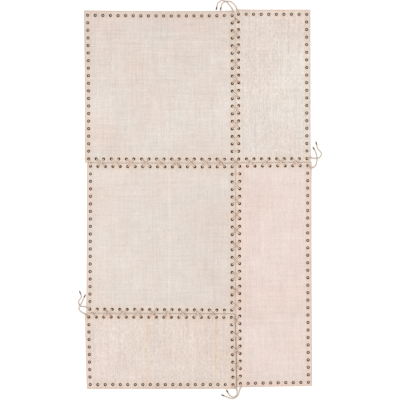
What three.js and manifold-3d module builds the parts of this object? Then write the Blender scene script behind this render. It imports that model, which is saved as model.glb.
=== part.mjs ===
// A flat handwoven rug: five hemmed panels with eyelets all round, laced together edge to edge.
// Millimetres, +Z up, +Y towards the head end. The origin is on the floor under the rug's middle.
import * as THREE from 'three';
import { mergeVertices } from 'three/addons/utils/BufferGeometryUtils.js';
import Module from 'manifold-3d';

const wasm = await Module();
wasm.setup();

// Driving sizes
const PITCH = 60; // from one eyelet to the next
const CLOTH = 3; // the weave, one layer
const HEM = 5; // the weave folded over and sewn down
const HEM_INSIDE = 28; // from the eyelet line to the hem's inner fold
const HEM_STEP = 4; // over which the folded hem thins to one layer
const RAMP = 100; // over which the cloth comes down from a laced hem
const PLAY = 0.3; // between pieces that touch

const FLANGE = 1; // an eyelet's rim, above and below the hem
const RIM_RADIUS = 12;
const BORE_RADIUS = 6;
const BARREL_RADIUS = 7;
const HOLE = { radius: 8.5, sides: 6 }; // in the hem under an empty eyelet
const LACED_HOLE = { radius: 10.4, sides: 4 }; // under a laced one, hidden by its rims

const LACE_WIDE = 9;
const LACE_THICK = 4;
const STUB = 10; // a leg's length on top past its last eyelet
const DIVE_APART = 14; // between the two legs where they go down the same seam
const HOLLOW = { radius: 6, sides: 8 }; // what such a leg presses into both edges
const CROSSING_ROOM = 1; // between two stretches of lace that cross

const END_STEPS = 11; // the lengths that a free end is built from
const END_LEAD = 6; // its first, straight on from the leg
const ROUND_SIDES = 8; // of a free end, a tip and an eyelet
const END_FALL = 42; // over which a free end comes down to the floor
const EDGE_ROOM = 4; // from the hem's edge to where it starts to fall
const OVER_NEAR = 10; // how far from a crossing the upper end stays up
const OVER_FADE = 24; // over which it comes down again

const TIP_LENGTH = 24;
const TIP_RADIUS = 4;
const TIP_END_RADIUS = 3;
const TIP_GAP = 0.7; // from a free end's last section to its tip

const THROUGH = 60; // the height of a cutter that goes through everything

// Heights above the floor. A laced hem lies on the lace's back stretches, an outer hem on its eyelets.
const EDGE_LIFT = FLANGE + PLAY;
const LACED_LIFT = LACE_THICK + PLAY + FLANGE + PLAY;
const LACE_BACK = LACE_THICK / 2;
const LACE_TOP = LACED_LIFT + HEM + PLAY + FLANGE + PLAY + LACE_THICK / 2;
const LACE_OVER = LACE_TOP + LACE_THICK + CROSSING_ROOM;

const { clamp, smoothstep } = THREE.MathUtils;

// The five panels. columns and rows: the first and last eyelet of the 30 by 50 grid.
// nw, ne, sw, se: the corner eyelets. bow: how far the middle of each side stands off a straight line.
// margin: from the outer eyelets to the edge. laced: the sides that are laced to another panel.
const SIDES = ['north', 'south', 'west', 'east'];
const PANELS = [
  {
    name: 'north_west', columns: [0, 19], rows: [0, 19], colour: '#dccfc6',
    nw: [-880, 1469], ne: [272, 1466], sw: [-872, 323], se: [272, 321],
    bow: { west: 3, north: -4, east: 2, south: 0 },
    margin: { west: 29, north: 37, east: 23, south: 28 },
    laced: ['east', 'south'],
  },
  {
    name: 'north_east', columns: [20, 29], rows: [0, 19], colour: '#dfd3ca',
    nw: [323, 1476], ne: [867, 1476], sw: [326, 323], se: [869, 325],
    bow: { west: 0, north: 0, east: 0, south: 0 },
    margin: { west: 23, north: 36, east: 28, south: 27 },
    laced: ['west', 'south'],
  },
  {
    name: 'west', columns: [0, 19], rows: [20, 39], colour: '#dcd0c8',
    nw: [-857, 264], ne: [272, 260], sw: [-862, -875], se: [270, -883],
    bow: { west: 1, north: -2, east: 2, south: 0 },
    margin: { west: 28, north: 28, east: 27.5, south: 28.5 },
    laced: ['north', 'east', 'south'],
  },
  {
    name: 'south_west', columns: [0, 19], rows: [40, 49], colour: '#decdbf',
    nw: [-871, -938], ne: [267, -941], sw: [-859, -1477], se: [279, -1477],
    bow: { west: -2, north: 0, east: 2, south: 0 },
    margin: { west: 28, north: 28.5, east: 29, south: 35 },
    laced: ['north', 'east'],
  },
  {
    name: 'east', columns: [20, 29], rows: [20, 49], colour: '#e2d1c9',
    nw: [334, 264], ne: [876, 269], sw: [339, -1468], se: [881, -1459],
    bow: { west: -4, north: 0, east: -2, south: 0 },
    margin: { west: 30, north: 27, east: 28, south: 30 },
    laced: ['north', 'west'],
  },
];

// The laces. Each lace's middle is a straight bar across its seam at the first pair of eyelets.
// From there its two legs run along the seam: up through an eyelet, across the seam to the other leg's
// side, down, and along the back to the next one. pair(k) gives the two eyelets at step k.
// over: which leg lies on top at each crossing. An even count of steps ends with a dive:
// both legs go down between the hems and come up through the last pair from below.
// exit: the side of the rug that the two free ends leave by.
const LACES = [
  { name: 'cross', steps: 29, over: 'aababbabaabaab', exit: 'east', pair: (k) => [[k, 19], [k, 20]] },
  { name: 'upper', steps: 18, over: 'abbabaab', exit: 'north', pair: (k) => [[19, 18 - k], [20, 18 - k]] },
  { name: 'lower', steps: 28, over: 'baabbababbaab', exit: 'south', pair: (k) => [[19, 21 + k], [20, 21 + k]] },
  { name: 'short', steps: 18, over: 'babbabaa', exit: 'west', pair: (k) => [[18 - k, 39], [18 - k, 40]] },
];

// The free ends in plan, a and b of each lace, from past the hem to the tip.
// over: where the end passes over the lace's other one.
const ENDS = {
  cross: [
    { route: [[890, 333], [928, 327], [966, 331], [985, 366], [955, 407], [946, 437]], over: [946, 326] },
    { route: [[890, 257], [906, 250], [936, 267], [949, 314], [944, 363], [928, 397]] },
  ],
  upper: [
    {
      route: [[275, 1491], [274, 1516], [257, 1541], [238, 1565], [197, 1588], [160, 1568], [150, 1535]],
      over: [220, 1578],
    },
    {
      route: [
        [317, 1492], [308, 1519], [294, 1549], [270, 1573],
        [238, 1581], [203, 1571], [188, 1550], [184, 1532],
      ],
    },
  ],
  lower: [
    {
      route: [
        [286, -1491], [305, -1512], [313, -1540], [304, -1566],
        [276, -1577], [250, -1560], [238, -1541],
      ],
    },
    { route: [[342, -1492], [330, -1526], [321, -1562], [278, -1591], [226, -1575], [209, -1568]] },
  ],
  short: [
    { route: [[-875, -867], [-908, -855], [-938, -852], [-953, -818], [-931, -778], [-937, -754]] },
    {
      route: [[-886, -924], [-918, -906], [-948, -880], [-949, -860], [-930, -829], [-908, -782]],
      over: [-943, -846],
    },
  ],
};

// The eyelets that are built here, as column and row: twelve of the empty ones, at the stated openings,
// and the eight that the free ends come out of.
const EYELETS = [
  [0, 0], [9, 0], [29, 0], [0, 10], [29, 10], [0, 30], [29, 35], [0, 45], [0, 49], [10, 49], [25, 49], [29, 49],
  [29, 19], [29, 20], [19, 0], [20, 0], [19, 49], [20, 49], [0, 39], [0, 40],
];

const fabric = (colour) => new THREE.MeshStandardMaterial({ color: colour, roughness: 0.9, metalness: 0 });
const metal = (colour) => new THREE.MeshStandardMaterial({ color: colour, roughness: 0.45, metalness: 0.8 });
const laceMaterial = fabric('#e6dccd');
const brassMaterial = metal('#5a4636');
const tipMaterial = metal('#3d3633');

const rug = new THREE.Group();

function add(name, geometry, material) {
  const mesh = new THREE.Mesh(geometry, material);
  mesh.name = name;
  rug.add(mesh);
}

// A panel's own plan: u runs east from its west eyelets and v north from its south eyelets,
// as if it were cut square. plan() gives where that point lies on the floor.
for (const panel of PANELS) {
  panel.width = PITCH * (panel.columns[1] - panel.columns[0]);
  panel.depth = PITCH * (panel.rows[1] - panel.rows[0]);
  panel.material = fabric(panel.colour);
}

function plan(panel, u, v) {
  const s = u / panel.width;
  const t = v / panel.depth;
  const bowAcross = 4 * t * (1 - t);
  const bowAlong = 4 * s * (1 - s);
  const mix = (axis) =>
    (1 - t) * ((1 - s) * panel.sw[axis] + s * panel.se[axis]) +
    t * ((1 - s) * panel.nw[axis] + s * panel.ne[axis]);
  const x = mix(0) + bowAcross * ((1 - s) * panel.bow.west + s * panel.bow.east);
  const y = mix(1) + bowAlong * ((1 - t) * panel.bow.south + t * panel.bow.north);
  return [x, y];
}

function panelAt(column, row) {
  return PANELS.find(
    ({ columns, rows }) => column >= columns[0] && column <= columns[1] && row >= rows[0] && row <= rows[1],
  );
}

// Where an eyelet of the grid lies, and whether a lace runs through it
function eyeletAt(column, row) {
  const panel = panelAt(column, row);
  const u = PITCH * (column - panel.columns[0]);
  const v = PITCH * (panel.rows[1] - row);
  const onSide = { west: u === 0, east: u === panel.width, south: v === 0, north: v === panel.depth };
  return {
    u,
    v,
    place: plan(panel, u, v),
    onRim: SIDES.some((side) => onSide[side]),
    laced: panel.laced.some((side) => onSide[side]),
  };
}

// How far a point of a panel's plan lies inside the eyelet line of one side
function inside(panel, side, u, v) {
  return { west: u, east: panel.width - u, south: v, north: panel.depth - v }[side];
}

// How high the cloth's underside lies: raised along its laced sides, and down on the floor inside them
function lift(panel, u, v) {
  const heights = panel.laced.map((side) => {
    const down = clamp((inside(panel, side, u, v) - HEM_INSIDE) / RAMP, 0, 1);
    return LACED_LIFT * (1 - down);
  });
  return Math.max(...heights);
}

// A slab over a stretch of a panel's plan: a segmented box whose points are moved to the cloth's shape
function slab(panel, uLines, vLines, lowest, highest) {
  const cellsU = uLines.length - 1;
  const cellsV = vLines.length - 1;
  const geometry = new THREE.BoxGeometry(cellsU, cellsV, 1, cellsU, cellsV, 1);
  const points = geometry.attributes.position;
  for (let i = 0; i < points.count; i++) {
    const u = uLines[Math.round(points.getX(i) + cellsU / 2)];
    const v = vLines[Math.round(points.getY(i) + cellsV / 2)];
    const [x, y] = plan(panel, u, v);
    const z = points.getZ(i) > 0 ? highest(u, v) : lowest(u, v);
    points.setXYZ(i, x, y, z);
  }
  return geometry;
}

function toSolid(geometry) {
  const bare = geometry.clone();
  bare.deleteAttribute('normal');
  bare.deleteAttribute('uv');
  const merged = mergeVertices(bare, 1e-4);
  return new wasm.Manifold(
    new wasm.Mesh({
      numProp: 3,
      vertProperties: new Float32Array(merged.attributes.position.array),
      triVerts: new Uint32Array(merged.index.array),
    }),
  );
}

function toGeometry(solid) {
  const mesh = solid.getMesh();
  const geometry = new THREE.BufferGeometry();
  geometry.setAttribute('position', new THREE.BufferAttribute(new Float32Array(mesh.vertProperties), 3));
  geometry.setIndex(new THREE.BufferAttribute(new Uint32Array(mesh.triVerts), 1));
  geometry.computeVertexNormals();
  return geometry;
}

// Cuts an upright prism out of a solid at each place. A square one stands square to the rug.
function punch(solid, places, { radius, sides }) {
  let cut = solid;
  for (const [x, y] of places) {
    const prism = new THREE.CylinderGeometry(radius, radius, THROUGH, sides);
    prism.rotateX(Math.PI / 2);
    prism.rotateZ(sides === 4 ? Math.PI / 4 : 0);
    prism.translate(x, y, 0);
    cut = cut.subtract(toSolid(prism));
  }
  return cut;
}

// A path whose steps are its own corners. Its width stays level and square to the way it runs in plan,
// as a flat lace lies.
class LaceRoute extends THREE.Curve {
  constructor(corners) {
    super();
    this.corners = corners;
  }

  getSpacedPoints() {
    return this.corners;
  }

  computeFrenetFrames() {
    const corners = this.corners;
    const frames = { tangents: [], normals: [], binormals: [] };
    const inPlan = (step) => Math.hypot(step.x, step.y);
    const upright = LACE_THICK / 2; // a step shorter than this in plan goes straight up or down
    let across = null;
    corners.forEach((corner, i) => {
      const arriving = corner.clone().sub(corners[Math.max(i - 1, 0)]);
      const leaving = corners[Math.min(i + 1, corners.length - 1)].clone().sub(corner);
      const longer = inPlan(arriving) > inPlan(leaving) ? arriving : leaving;
      const turns = inPlan(arriving) > upright && inPlan(leaving) > upright;
      const run = turns ? arriving.clone().normalize().add(leaving.clone().normalize()) : longer;
      const level = new THREE.Vector3(-run.y, run.x, 0).normalize();
      if (across && level.dot(across) < 0) level.negate();
      across = level;
      const tangent = arriving.normalize().add(leaving.normalize()).normalize();
      const binormal = level.clone().addScaledVector(tangent, -level.dot(tangent)).normalize();
      frames.tangents.push(tangent);
      frames.binormals.push(binormal);
      frames.normals.push(binormal.clone().cross(tangent));
    });
    return frames;
  }
}

function sweep(section, corners) {
  const extrudePath = new LaceRoute(corners);
  return new THREE.ExtrudeGeometry(section, { steps: corners.length - 1, extrudePath, bevelEnabled: false });
}

const halfThick = LACE_THICK / 2;
const halfWide = LACE_WIDE / 2;
const flatSection = new THREE.Shape([
  new THREE.Vector2(-halfThick, -halfWide),
  new THREE.Vector2(halfThick, -halfWide),
  new THREE.Vector2(halfThick, halfWide),
  new THREE.Vector2(-halfThick, halfWide),
]);
const ovalSection = new THREE.Shape(
  Array.from({ length: ROUND_SIDES }, (_, i) => {
    const turn = (2 * Math.PI * (i + 0.5)) / ROUND_SIDES;
    return new THREE.Vector2(halfThick * Math.cos(turn), halfWide * Math.sin(turn));
  }),
);

const at = ([x, y], z) => new THREE.Vector3(x, y, z);

// One leg's corners, from the first pair outward. start: which eyelet of the pair it starts at.
// end: the free end that it becomes, 0 for a and 1 for b.
function layLeg(lace, start, end) {
  const corners = [];
  const hole = (k, which) => eyeletAt(...lace.pair(k)[which]).place;
  const up = (k, which) => corners.push(at(hole(k, which), LACE_BACK), at(hole(k, which), LACE_TOP));
  const down = (k, which) => corners.push(at(hole(k, which), LACE_TOP), at(hole(k, which), LACE_BACK));
  const dives = lace.steps % 2 === 0;
  const lastCrossing = dives ? lace.steps - 2 : lace.steps - 1;
  let where = start;
  down(0, where);
  for (let k = 1; k < lastCrossing; k += 2) {
    up(k, where);
    if (lace.over[(k - 1) / 2] === 'ab'[start]) {
      const middle = at(hole(k, where), LACE_OVER).lerp(at(hole(k + 1, 1 - where), LACE_OVER), 0.5);
      corners.push(middle);
    }
    where = 1 - where;
    down(k + 1, where);
  }
  let dive = null;
  if (dives) {
    const k = lace.steps - 1;
    up(k, where);
    const near = at(hole(k, 0), 0).lerp(at(hole(k, 1), 0), 0.5);
    const far = at(hole(k + 1, 0), 0).lerp(at(hole(k + 1, 1), 0), 0.5);
    const onward = at(hole(k + 1, where), 0).sub(at(hole(k, where), 0)).normalize();
    dive = near.lerp(far, 0.5).addScaledVector(onward, (where - 0.5) * DIVE_APART);
    corners.push(dive.clone().setZ(LACE_TOP), dive.clone().setZ(LACE_BACK));
    where = 1 - where;
  }
  up(lace.steps, where);
  const last = corners.at(-1);
  const outward = at(ENDS[lace.name][end].route[0], LACE_TOP).sub(last).normalize();
  corners.push(last.clone().addScaledVector(outward, STUB));
  const hem = panelAt(...lace.pair(lace.steps)[where]).margin[lace.exit];
  return { corners, outward, dive, hem };
}

// A free end's corners: level on top of the hem, down to the floor beyond it, over the other end
// where they cross, and up to the middle of its tip
function layEnd({ route, over }, start, outward, hem) {
  const lead = start.clone().addScaledVector(outward, END_LEAD).setZ(0);
  const points = [lead, ...route.map((point) => at(point, 0))];
  const curve = new THREE.CatmullRomCurve3(points, false, 'centripetal');
  const length = curve.getLength();
  const edge = hem - STUB - END_LEAD + EDGE_ROOM;
  const corners = curve.getSpacedPoints(END_STEPS).map((point, i) => {
    const along = (length * i) / END_STEPS;
    const fallen = smoothstep(along, edge, edge + END_FALL);
    const risen = smoothstep(along, length - TIP_LENGTH, length);
    const away = over ? Math.hypot(point.x - over[0], point.y - over[1]) : Infinity;
    const near = 1 - smoothstep(away, OVER_NEAR, OVER_NEAR + OVER_FADE);
    const heights = [
      LACE_TOP + (LACE_BACK - LACE_TOP) * fallen,
      LACE_BACK + (TIP_RADIUS - LACE_BACK) * risen,
      LACE_BACK + (LACE_THICK + CROSSING_ROOM) * near,
    ];
    return point.setZ(Math.max(...heights));
  });
  return [start, ...corners];
}

// Turned about +Z from a profile of radius and height
function lathe(profile) {
  const points = profile.map(([radius, height]) => new THREE.Vector2(radius, height));
  const turned = new THREE.LatheGeometry(points, ROUND_SIDES);
  turned.rotateX(Math.PI / 2);
  return turned;
}

function tipGeometry(foot, run) {
  const tip = lathe([[0, 0], [TIP_RADIUS, 0], [TIP_END_RADIUS, TIP_LENGTH], [0, TIP_LENGTH]]);
  tip.rotateY(Math.PI / 2);
  tip.rotateX(Math.PI / ROUND_SIDES);
  tip.rotateZ(Math.atan2(run.y, run.x));
  tip.translate(foot.x, foot.y, TIP_RADIUS);
  return tip;
}

const dives = [];
for (const lace of LACES) {
  // With an odd number of crossings a leg ends on the side that it didn't start on, and so after a dive
  const changes = lace.over.length + (lace.steps % 2 === 0 ? 1 : 0);
  const legs = [0, 1].map((start) => {
    const end = changes % 2 === 0 ? start : 1 - start;
    return { end, ...layLeg(lace, start, end) };
  });
  const whole = [...legs[0].corners].reverse().concat(legs[1].corners);
  add(`lace_${lace.name}`, sweep(flatSection, whole), laceMaterial);

  for (const { end, corners, outward, dive, hem } of legs) {
    if (dive) dives.push([dive.x, dive.y]);
    const start = corners.at(-1).clone().addScaledVector(outward, PLAY);
    const path = layEnd(ENDS[lace.name][end], start, outward, hem);
    add(`end_${lace.name}_${'ab'[end]}`, sweep(ovalSection, path), laceMaterial);

    const run = path.at(-1).clone().sub(path.at(-2)).setZ(0).normalize();
    const foot = path.at(-1).clone().addScaledVector(run, TIP_GAP);
    add(`tip_${lace.name}_${'ab'[end]}`, tipGeometry(foot, run), tipMaterial);
  }
}

// The cloths: each panel's field with its laced hems, and its outer hem strips, one along each side
// that isn't laced. A north or south strip takes the corners, and a west or east one fits between.
for (const panel of PANELS) {
  const { width, depth, margin } = panel;
  const isLaced = (side) => panel.laced.includes(side);
  const edge = {
    west: -margin.west, east: width + margin.east,
    south: -margin.south, north: depth + margin.north,
  };
  const fold = {
    west: HEM_INSIDE, east: width - HEM_INSIDE,
    south: HEM_INSIDE, north: depth - HEM_INSIDE,
  };
  const low = (side) => (isLaced(side) ? edge[side] : fold[side] + PLAY);
  const high = (side) => (isLaced(side) ? edge[side] : fold[side] - PLAY);
  const field = { u: [low('west'), high('east')], v: [low('south'), high('north')] };
  const strips = {
    north: { u: [edge.west, edge.east], v: [fold.north, edge.north] },
    south: { u: [edge.west, edge.east], v: [edge.south, fold.south] },
    west: { u: [edge.west, fold.west], v: field.v },
    east: { u: [fold.east, edge.east], v: field.v },
  };

  // Where the cloth needs a line of points: at its hems, at the foot of its ramps and halfway,
  // for the bow of its sides
  const stations = (from, to, length) => {
    const steps = [HEM_INSIDE, HEM_INSIDE + HEM_STEP, HEM_INSIDE + RAMP];
    const near = isLaced(from) ? steps : [];
    const far = isLaced(to) ? steps.map((distance) => length - distance).reverse() : [];
    return [...near, length / 2, ...far];
  };
  const uLines = stations('west', 'east', width);
  const vLines = stations('south', 'north', depth);
  const within = (lines, [from, to]) => [from, ...lines.filter((line) => line > from && line < to), to];

  const eyelets = [];
  for (let column = panel.columns[0]; column <= panel.columns[1]; column++) {
    for (let row = panel.rows[0]; row <= panel.rows[1]; row++) {
      const eyelet = eyeletAt(column, row);
      if (eyelet.onRim) eyelets.push(eyelet);
    }
  }

  const addCloth = (name, { u, v }, underside, face) => {
    const between = (value, [from, to]) => value > from && value < to;
    const held = eyelets.filter((eyelet) => between(eyelet.u, u) && between(eyelet.v, v));
    const placesOf = (laced) => held.filter((eyelet) => eyelet.laced === laced).map((eyelet) => eyelet.place);
    let cloth = toSolid(slab(panel, within(uLines, u), within(vLines, v), underside, face));
    cloth = punch(cloth, placesOf(false), HOLE);
    cloth = punch(cloth, placesOf(true), LACED_HOLE);
    cloth = punch(cloth, dives, HOLLOW);
    add(name, toGeometry(cloth), panel.material);
  };

  const underside = (u, v) => lift(panel, u, v);
  const onLacedHem = (u, v) => panel.laced.some((side) => inside(panel, side, u, v) < HEM_INSIDE + 1);
  const face = (u, v) => underside(u, v) + (onLacedHem(u, v) ? HEM : CLOTH);
  addCloth(`panel_${panel.name}`, field, underside, face);

  const hemUnderside = (u, v) => Math.max(EDGE_LIFT, lift(panel, u, v));
  for (const side of SIDES.filter((each) => !isLaced(each))) {
    addCloth(`hem_${panel.name}_${side}`, strips[side], hemUnderside, (u, v) => hemUnderside(u, v) + HEM);
  }
}

// The eyelets: a barrel through the hem with a rim on each side
for (const [column, row] of EYELETS) {
  const { laced, place } = eyeletAt(column, row);
  const foot = (laced ? LACED_LIFT : EDGE_LIFT) - PLAY - FLANGE;
  const head = foot + HEM + 2 * (PLAY + FLANGE);
  const profile = [
    [BORE_RADIUS, foot], [RIM_RADIUS, foot], [BARREL_RADIUS, foot + FLANGE],
    [BARREL_RADIUS, head - FLANGE], [RIM_RADIUS, head - FLANGE], [BORE_RADIUS, head],
    [BORE_RADIUS, foot],
  ];
  const ring = lathe(profile);
  ring.translate(...place, 0);
  const twoDigits = (number) => String(number).padStart(2, '0');
  add(`eyelet_c${twoDigits(column)}_r${twoDigits(row)}`, ring, brassMaterial);
}

export default rug;
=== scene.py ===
"""Looks of a flat handwoven rug: five hemmed panels laced together through eyelets, seen from above.

Lengths are in millimetres in the tables and in metres in the meshes. +Z is up and +Y is the head end.
"""
import math
import random

import bmesh
import bpy
import numpy as np
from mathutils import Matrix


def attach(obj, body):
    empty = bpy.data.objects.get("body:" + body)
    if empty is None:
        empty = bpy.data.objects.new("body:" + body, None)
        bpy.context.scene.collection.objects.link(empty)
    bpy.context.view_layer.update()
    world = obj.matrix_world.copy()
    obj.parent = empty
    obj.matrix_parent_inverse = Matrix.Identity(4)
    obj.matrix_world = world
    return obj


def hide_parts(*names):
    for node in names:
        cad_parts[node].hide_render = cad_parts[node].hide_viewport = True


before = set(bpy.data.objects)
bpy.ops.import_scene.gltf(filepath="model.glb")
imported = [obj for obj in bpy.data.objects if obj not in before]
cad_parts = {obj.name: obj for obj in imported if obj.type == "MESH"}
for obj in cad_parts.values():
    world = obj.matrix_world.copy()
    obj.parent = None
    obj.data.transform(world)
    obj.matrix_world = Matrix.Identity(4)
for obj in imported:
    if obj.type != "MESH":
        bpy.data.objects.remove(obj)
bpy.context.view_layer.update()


# Camera. The photograph looks straight down on the rug from far above, so the camera does too,
# with a long lens over the middle of the picture.
PICTURE_MIDDLE = (0.0164, -0.0048)
PICTURE_ACROSS = 3.192
CAMERA_HEIGHT = 14.0
SENSOR = 36.0


def new_object(name, data):
    """An object of its own, at the origin, with its place in its data."""
    made = bpy.data.objects.new(name, data)
    bpy.context.scene.collection.objects.link(made)
    return made


lens = bpy.data.cameras.new("camera")
lens.sensor_fit = "HORIZONTAL"
lens.sensor_width = SENSOR
lens.lens = SENSOR * CAMERA_HEIGHT / PICTURE_ACROSS
lens.clip_end = 100
camera = new_object("camera", lens)
camera.location = (*PICTURE_MIDDLE, CAMERA_HEIGHT)
bpy.context.scene.camera = camera


# Free lace ends. Each lace is a flat braid of undyed yarn, limp, and its two ends come out of the last
# eyelets, cross the hem and lie in loose loops on the floor. They are cords of their own.
LACE_WIDE = 9.0
LACE_THICK = 4.0
LACE_TOP = 14.2  # the middle of a lace on top of a laced hem
LACE_BACK = 2.0  # the middle of a lace on the floor
STUB = 10.0  # how far the seam's own lace reaches past its last eyelet
PLAY = 0.3  # from there to the free end
END_LEAD = 6.0  # straight on before its first turn
EDGE_ROOM = 4.0  # level past the hem's edge
END_FALL = 42.0  # along it, from there down to the floor
OVER_NEAR = 10.0  # from the crossing, where it is highest
OVER_FADE = 24.0
OVER_RISE = LACE_THICK + 1.0
TIP_LENGTH = 24.0
TIP_RADIUS = 4.0
TIP_GAP = 0.7
CORD_STEPS = 30
CAD_STEPS = 11

FREE_ENDS = [
    # name, the eyelet it leaves, the hem past it, its route, where it passes over the other end
    ("cross_a", (869, 325), 28,
     [(890, 333), (928, 327), (966, 331), (985, 366), (955, 407), (946, 437)], (946, 326)),
    ("cross_b", (876, 269), 28,
     [(890, 257), (906, 250), (936, 267), (949, 314), (944, 363), (928, 397)], None),
    ("upper_a", (272, 1466), 37,
     [(275, 1491), (274, 1516), (257, 1541), (238, 1565), (197, 1588), (160, 1568), (150, 1535)],
     (220, 1578)),
    ("upper_b", (323, 1476), 36,
     [(317, 1492), (308, 1519), (294, 1549), (270, 1573), (238, 1581), (203, 1571), (188, 1550), (184, 1532)],
     None),
    ("lower_a", (279, -1477), 35,
     [(286, -1491), (305, -1512), (313, -1540), (304, -1566), (276, -1577), (250, -1560), (238, -1541)],
     None),
    ("lower_b", (339, -1468), 30,
     [(342, -1492), (330, -1526), (321, -1562), (278, -1591), (226, -1575), (209, -1568)], None),
    ("short_a", (-862, -875), 28,
     [(-875, -867), (-908, -855), (-938, -852), (-953, -818), (-931, -778), (-937, -754)], None),
    ("short_b", (-871, -938), 28,
     [(-886, -924), (-918, -906), (-948, -880), (-949, -860), (-930, -829), (-908, -782)], (-943, -846)),
]


def smooth(value, low, high):
    part = min(max((value - low) / (high - low), 0.0), 1.0)
    return part * part * (3 - 2 * part)


def soft_curve(points, per_span=40):
    """A curve through the points, close-set, as limp yarn lies: a centripetal Catmull-Rom."""
    points = [np.array(p, float) for p in points]
    padded = [2 * points[0] - points[1], *points, 2 * points[-1] - points[-2]]
    line = [points[0]]
    for p0, p1, p2, p3 in zip(padded, padded[1:], padded[2:], padded[3:]):
        d0, d1, d2 = (math.sqrt(np.linalg.norm(b - a)) for a, b in ((p0, p1), (p1, p2), (p2, p3)))
        m1 = ((p1 - p0) / d0 - (p2 - p0) / (d0 + d1) + (p2 - p1) / d1) * d1
        m2 = ((p2 - p1) / d1 - (p3 - p1) / (d1 + d2) + (p3 - p2) / d2) * d1
        for step in range(1, per_span + 1):
            t = step / per_span
            line.append(
                p1 + m1 * t + (3 * (p2 - p1) - 2 * m1 - m2) * t * t + (2 * (p1 - p2) + m1 + m2) * t**3
            )
    return np.array(line)


def reach_along(points):
    """How far along a line each of its points lies."""
    return np.concatenate([[0], np.cumsum(np.linalg.norm(np.diff(points, axis=0), axis=1))])


def evenly(line, reach, count):
    """That many points, spaced evenly along the line."""
    marks = np.linspace(0, reach[-1], count)
    return np.stack([np.interp(marks, reach, column) for column in line.T], axis=1)


def lay_end(eyelet, hem, route, over, steps):
    """A free end's points: level over the hem, down to the floor, and up to the middle of its tip."""
    eyelet = np.array(eyelet, float)
    outward = np.array(route[0], float) - eyelet
    outward /= np.linalg.norm(outward)
    start = eyelet + outward * (STUB + PLAY)
    line = soft_curve([start + outward * END_LEAD, *route])
    reach = reach_along(line)
    length = reach[-1]
    edge = hem - STUB - END_LEAD + EDGE_ROOM
    points = [(*start, LACE_TOP)]
    for i, (x, y) in enumerate(evenly(line, reach, steps + 1)):
        along = length * i / steps
        away = math.hypot(x - over[0], y - over[1]) if over else math.inf
        points.append((x, y, max(
            LACE_TOP + (LACE_BACK - LACE_TOP) * smooth(along, edge, edge + END_FALL),
            LACE_BACK + (TIP_RADIUS - LACE_BACK) * smooth(along, length - TIP_LENGTH, length),
            LACE_BACK + OVER_RISE * (1 - smooth(away, OVER_NEAR, OVER_NEAR + OVER_FADE)),
        )))
    return np.array(points)


PLAIT = 7.0  # from one lobe of the plait to the next on the same side
PLAIT_RINGS = 4  # for each lobe
PLAIT_SIDES = 12
PLAIT_FULL = (0.75, 0.9)  # below 1, its section is fuller than an ellipse, across and through it
PLAIT_SLANT = 0.65
PLAIT_RELIEF = 0.14


def fuller(value, power):
    return math.copysign(abs(value) ** power, value)


def finish_mesh(name, made):
    mesh = bpy.data.meshes.new(name)
    made.to_mesh(mesh)
    made.free()
    return new_object(name, mesh)


def braid_band(name, points, levels=None):
    """A closed flat braid along the points. Its width lies level. UV: across it, and along it in metres."""
    if levels is None:
        runs = np.gradient(np.asarray(points, float), axis=0)
        levels = np.stack([-runs[:, 1], runs[:, 0], 0 * runs[:, 0]], axis=1)
    both = np.concatenate([points, levels], axis=1)
    reach = reach_along(both[:, :3])
    count = round(reach[-1] / (PLAIT / PLAIT_RINGS)) + 1
    both = evenly(both, reach, count)
    points, levels = both[:, :3], both[:, 3:]
    tangents = np.gradient(points, axis=0)
    tangents /= np.linalg.norm(tangents, axis=1)[:, None]
    across = levels - tangents * np.sum(levels * tangents, axis=1)[:, None]
    across /= np.linalg.norm(across, axis=1)[:, None]
    thick = np.cross(tangents, across)
    along = reach_along(points) / 1000
    turns = [2 * math.pi * (i + 0.5) / PLAIT_SIDES for i in range(PLAIT_SIDES)]
    section = [(fuller(math.cos(t), PLAIT_FULL[0]), fuller(math.sin(t), PLAIT_FULL[1])) for t in turns]
    made = bmesh.new()
    uv = made.loops.layers.uv.new("UVMap")
    rings = []
    for i in range(count):
        ring = []
        for s, h in section:
            lobe = along[i] * 1000 / PLAIT + PLAIT_SLANT * abs(s) + (0.5 if s < 0 else 0)
            full = 1 - PLAIT_RELIEF * (1 - abs(math.sin(math.pi * lobe)))
            middle = points[i] + across[i] * s * full * LACE_WIDE / 2
            ring.append(made.verts.new((middle + thick[i] * h * full * LACE_THICK / 2) / 1000))
        rings.append(ring)

    def face(corners, marks):
        patch = made.faces.new(corners)
        patch.smooth = True
        for loop, mark in zip(patch.loops, marks):
            loop[uv].uv = mark

    for i in range(count - 1):
        for j in range(PLAIT_SIDES):
            k = (j + 1) % PLAIT_SIDES
            face(
                (rings[i][j], rings[i][k], rings[i + 1][k], rings[i + 1][j]),
                ((section[j][0], along[i]), (section[k][0], along[i]),
                 (section[k][0], along[i + 1]), (section[j][0], along[i + 1])),
            )
    face(rings[0][::-1], [(s, 0) for s, _ in section[::-1]])
    face(rings[-1], [(s, along[-1]) for s, _ in section])
    bmesh.ops.recalc_face_normals(made, faces=made.faces)
    return finish_mesh(name, made)


def new_material(name):
    material = bpy.data.materials.new(name)
    material.use_nodes = True
    return material, material.node_tree, material.node_tree.nodes["Principled BSDF"]


def set_inputs(tree, node, inputs):
    """Links inputs to other nodes' outputs, or sets them to plain values."""
    for label, value in inputs.items():
        if isinstance(value, bpy.types.NodeSocket):
            tree.links.new(value, node.inputs[label])
        else:
            node.inputs[label].default_value = value


def add_node(tree, kind, inputs, **settings):
    """Adds a node with its settings and inputs, and gives its outputs."""
    node = tree.nodes.new(kind)
    for label, value in settings.items():
        setattr(node, label, value)
    set_inputs(tree, node, inputs)
    return node.outputs


def math_node(tree, operation, *inputs, clamp=False):
    return add_node(tree, "ShaderNodeMath", dict(enumerate(inputs)), operation=operation, use_clamp=clamp)[0]


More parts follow.
